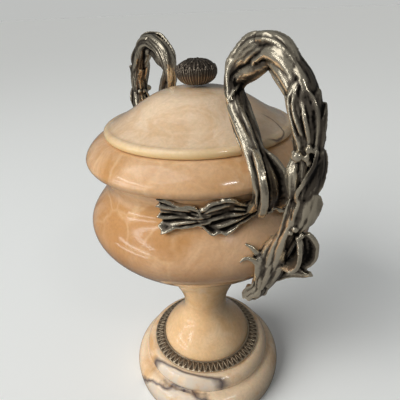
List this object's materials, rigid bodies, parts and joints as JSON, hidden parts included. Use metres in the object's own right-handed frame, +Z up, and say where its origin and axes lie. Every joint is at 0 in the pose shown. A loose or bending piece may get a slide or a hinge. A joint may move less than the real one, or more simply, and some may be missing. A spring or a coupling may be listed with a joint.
{
  "type": "mantel urn",
  "caption": "Covered mantel urn of polished honey onyx with cast bronze branch handles, leaf sprays, knob and foot band; the lid lifts off a hollow bowl.",
  "frame": {"origin": "centre of the foot's underside, on the surface it stands on", "axes": "+Z up along the turning axis; +X through the right handle, so both handles stand on the X axis"},
  "size_m": [0.2873, 0.2124, 0.3854],
  "materials": {
    "honey_onyx": "polished",
    "pale_onyx": "polished",
    "aged_bronze": "dark patina rubbed bright on raised edges"
  },
  "bodies": {
    "root": {"foot": "pale_onyx", "foot_band": "aged_bronze", "stem": "pale_onyx", "bowl": "honey_onyx", "lid": "pale_onyx", "knob": "aged_bronze", "handle_right": "aged_bronze", "handle_left": "aged_bronze"}
  },
  "joints": []
}
